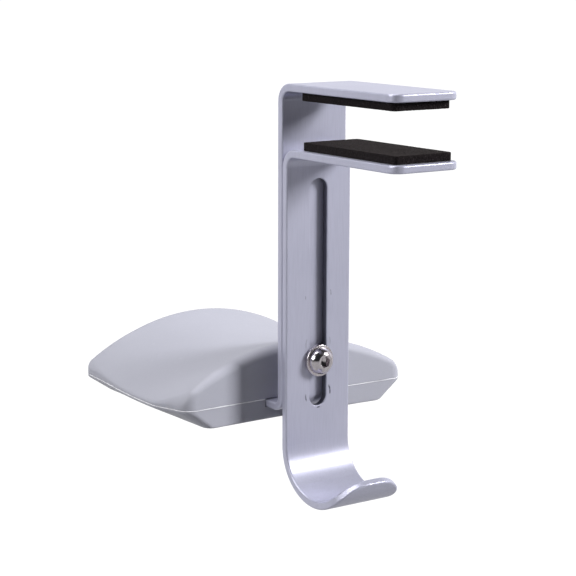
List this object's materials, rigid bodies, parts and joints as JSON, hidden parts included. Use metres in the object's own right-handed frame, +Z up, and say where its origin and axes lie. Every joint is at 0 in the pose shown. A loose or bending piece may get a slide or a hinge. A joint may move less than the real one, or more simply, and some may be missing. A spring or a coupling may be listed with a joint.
{
  "type": "desk clamp headphone hook",
  "caption": "Desk-edge clamp of two sliding bent bars with padded jaws, a J-hook in front and a crowned padded saddle behind, for hanging headsets.",
  "frame": {"origin": "where a desk's top front edge sits in the clamp: on the centre line, at the height of the upper clamping face and in the plane of the front bar's front face", "axes": "+Z up; +X across the bars, to the right seen from the front; +Y from the desk towards the saddle, so the jaws and the J-hook reach along -Y and the saddle along +Y"},
  "size_m": [0.1132, 0.1588, 0.1601],
  "materials": {
    "anodised_bar": "fine bead-blasted, satin lavender-grey anodised",
    "foam_pad": "closed-cell foam, matte, fine open cut cells",
    "adhesive_film": "dull double-sided adhesive film",
    "stainless_screw": "turned stainless, lightly polished",
    "stainless_washer": "stamped stainless, tumbled",
    "plated_insert": "zinc plated",
    "saddle_grey": "matte soft-touch silicone, very fine texture",
    "saddle_base_grey": "matte moulded, very fine texture",
    "saddle_screw_steel": "zinc plated"
  },
  "bodies": {
    "rear_frame": {"rear_bracket": "anodised_bar", "threaded_insert": "plated_insert", "upper_pad": "foam_pad", "upper_pad_adhesive": "adhesive_film", "saddle_upper": "saddle_grey", "saddle_lower": "saddle_base_grey", "tab_screws": "saddle_screw_steel", "cover_screws": "saddle_screw_steel"},
    "front_slider": {"front_bracket": "anodised_bar", "lower_pad": "foam_pad", "lower_pad_adhesive": "adhesive_film"},
    "washer": {"flat_washer": "stainless_washer"},
    "screw": {"clamp_screw": "stainless_screw"}
  },
  "joints": [
    {"name": "clamp_slide", "type": "slide", "parent": "rear_frame", "child": "front_slider", "axis": [0, 0, 1], "range_m": [-0.067, 0.0141]},
    {"name": "screw_travel", "type": "slide", "parent": "rear_frame", "child": "washer", "axis": [0, -1, 0], "range_m": [0, 0.002]},
    {"name": "screw_turn", "type": "hinge", "parent": "washer", "child": "screw", "pos_m": [0, 0, -0.10135], "axis": [0, -1, 0], "range_deg": [0, 720]}
  ],
  "couplings": [
    {"joint": "screw_turn", "follows": "screw_travel", "rad_per_m": 6283.2}
  ]
}
